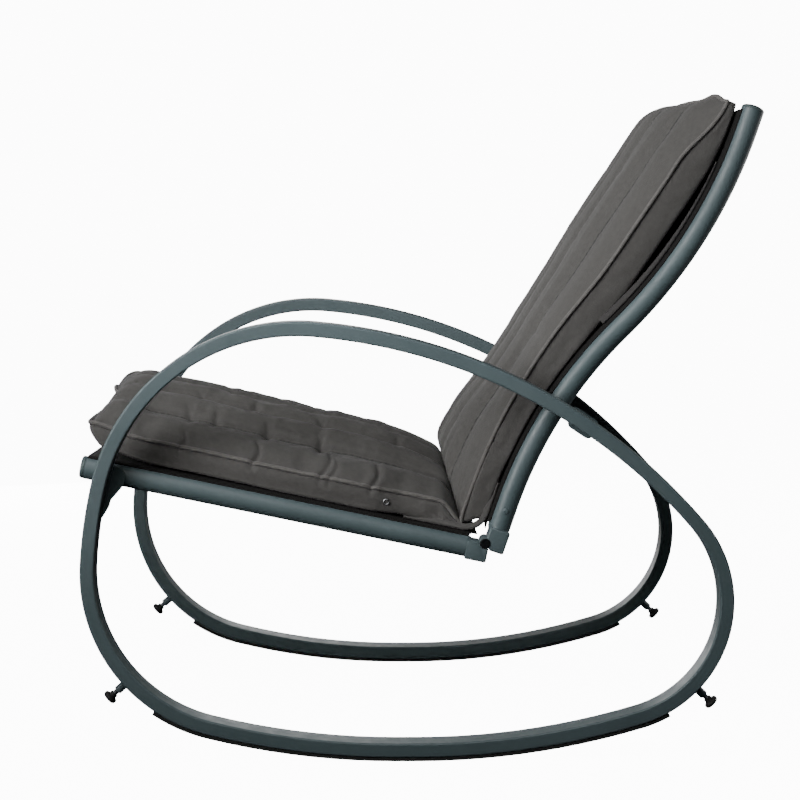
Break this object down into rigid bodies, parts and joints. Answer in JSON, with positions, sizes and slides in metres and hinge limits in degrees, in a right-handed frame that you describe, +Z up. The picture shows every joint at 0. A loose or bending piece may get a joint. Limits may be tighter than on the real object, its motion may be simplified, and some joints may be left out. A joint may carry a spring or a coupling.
{
  "type": "outdoor rocking chair",
  "caption": "Rocking chair with side loops that are rocker, upright and arm in one, a tube seat and back with mesh slings, a tufted folding cushion and screw-out stops.",
  "frame": {"origin": "on the floor, below the middle of the chair's bounding box", "axes": "+X to the sitter's left, -Y the way the sitter faces, +Z up"},
  "size_m": [0.64, 0.9478, 0.9128],
  "materials": {
    "anthracite_paint": "satin blue-grey anthracite powder coat",
    "black_rubber": "matt black rubber",
    "grey_plastic": "moulded plastic in the frame's colour",
    "zinc_steel": "zinc-plated steel",
    "black_steel": "steel with a black finish",
    "black_mesh": "woven black plastic mesh",
    "grey_fabric": "matt warm-grey woven cover",
    "grey_webbing": "woven grey band"
  },
  "bodies": {
    "chair_frame": {"side_loop_left": "anthracite_paint", "runner_tread_left": "black_rubber", "seat_rail_left": "anthracite_paint", "back_tube_left": "anthracite_paint", "rail_front_cap_left": "grey_plastic", "back_top_cap_left": "grey_plastic", "seat_end_block_left": "anthracite_paint", "back_end_block_left": "anthracite_paint", "hinge_pin_left": "black_steel", "front_bracket_left": "anthracite_paint", "rear_bracket_left": "anthracite_paint", "front_bracket_upper_bolt_left": "zinc_steel", "front_bracket_lower_bolt_left": "zinc_steel", "rear_bracket_upper_bolt_left": "zinc_steel", "rear_bracket_lower_bolt_left": "zinc_steel", "back_tube_rivet_left": "zinc_steel", "fold_band_left": "grey_webbing", "tie_strap_left": "grey_webbing", "stop_sleeve_front_left": "anthracite_paint", "stop_sleeve_rear_left": "anthracite_paint", "side_loop_right": "anthracite_paint", "runner_tread_right": "black_rubber", "seat_rail_right": "anthracite_paint", "back_tube_right": "anthracite_paint", "rail_front_cap_right": "grey_plastic", "back_top_cap_right": "grey_plastic", "seat_end_block_right": "anthracite_paint", "back_end_block_right": "anthracite_paint", "hinge_pin_right": "black_steel", "front_bracket_right": "anthracite_paint", "rear_bracket_right": "anthracite_paint", "front_bracket_upper_bolt_right": "zinc_steel", "front_bracket_lower_bolt_right": "zinc_steel", "rear_bracket_upper_bolt_right": "zinc_steel", "rear_bracket_lower_bolt_right": "zinc_steel", "back_tube_rivet_right": "zinc_steel", "fold_band_right": "grey_webbing", "tie_strap_right": "grey_webbing", "stop_sleeve_front_right": "anthracite_paint", "stop_sleeve_rear_right": "anthracite_paint", "seat_front_bar": "anthracite_paint", "seat_rear_bar": "anthracite_paint", "back_lower_bar": "anthracite_paint", "back_upper_bar": "anthracite_paint", "seat_sling": "black_mesh", "back_sling": "black_mesh", "seat_cushion": "grey_fabric", "back_cushion": "grey_fabric", "vent_eyelet": "zinc_steel"},
    "stop_front_left_stem": {"stop_stem_front_left": "zinc_steel"},
    "stop_front_left_foot": {"stop_foot_front_left": "black_rubber"},
    "stop_rear_left_stem": {"stop_stem_rear_left": "zinc_steel"},
    "stop_rear_left_foot": {"stop_foot_rear_left": "black_rubber"},
    "stop_front_right_stem": {"stop_stem_front_right": "zinc_steel"},
    "stop_front_right_foot": {"stop_foot_front_right": "black_rubber"},
    "stop_rear_right_stem": {"stop_stem_rear_right": "zinc_steel"},
    "stop_rear_right_foot": {"stop_foot_rear_right": "black_rubber"}
  },
  "joints": [
    {"name": "stop_front_left_slide", "type": "slide", "parent": "chair_frame", "child": "stop_front_left_stem", "axis": [0, -0.7431, -0.6691], "range_m": [-0.005, 0.01]},
    {"name": "stop_front_left_turn", "type": "hinge", "parent": "stop_front_left_stem", "child": "stop_front_left_foot", "pos_m": [0.3, -0.40803, 0.10741], "axis": [0, -0.7431, -0.6691], "range_deg": [-1440, 2880]},
    {"name": "stop_rear_left_slide", "type": "slide", "parent": "chair_frame", "child": "stop_rear_left_stem", "axis": [0, 0.7254, -0.6884], "range_m": [-0.005, 0.01]},
    {"name": "stop_rear_left_turn", "type": "hinge", "parent": "stop_rear_left_stem", "child": "stop_rear_left_foot", "pos_m": [0.3, 0.38627, 0.09947], "axis": [0, 0.7254, -0.6884], "range_deg": [-1440, 2880]},
    {"name": "stop_front_right_slide", "type": "slide", "parent": "chair_frame", "child": "stop_front_right_stem", "axis": [0, -0.7431, -0.6691], "range_m": [-0.005, 0.01]},
    {"name": "stop_front_right_turn", "type": "hinge", "parent": "stop_front_right_stem", "child": "stop_front_right_foot", "pos_m": [-0.3, -0.40803, 0.10741], "axis": [0, -0.7431, -0.6691], "range_deg": [-1440, 2880]},
    {"name": "stop_rear_right_slide", "type": "slide", "parent": "chair_frame", "child": "stop_rear_right_stem", "axis": [0, 0.7254, -0.6884], "range_m": [-0.005, 0.01]},
    {"name": "stop_rear_right_turn", "type": "hinge", "parent": "stop_rear_right_stem", "child": "stop_rear_right_foot", "pos_m": [-0.3, 0.38627, 0.09947], "axis": [0, 0.7254, -0.6884], "range_deg": [-1440, 2880]}
  ],
  "couplings": [
    {"joint": "stop_front_left_turn", "follows": "stop_front_left_slide", "rad_per_m": 5026.5},
    {"joint": "stop_rear_left_turn", "follows": "stop_rear_left_slide", "rad_per_m": 5026.5},
    {"joint": "stop_front_right_turn", "follows": "stop_front_right_slide", "rad_per_m": 5026.5},
    {"joint": "stop_rear_right_turn", "follows": "stop_rear_right_slide", "rad_per_m": 5026.5}
  ]
}
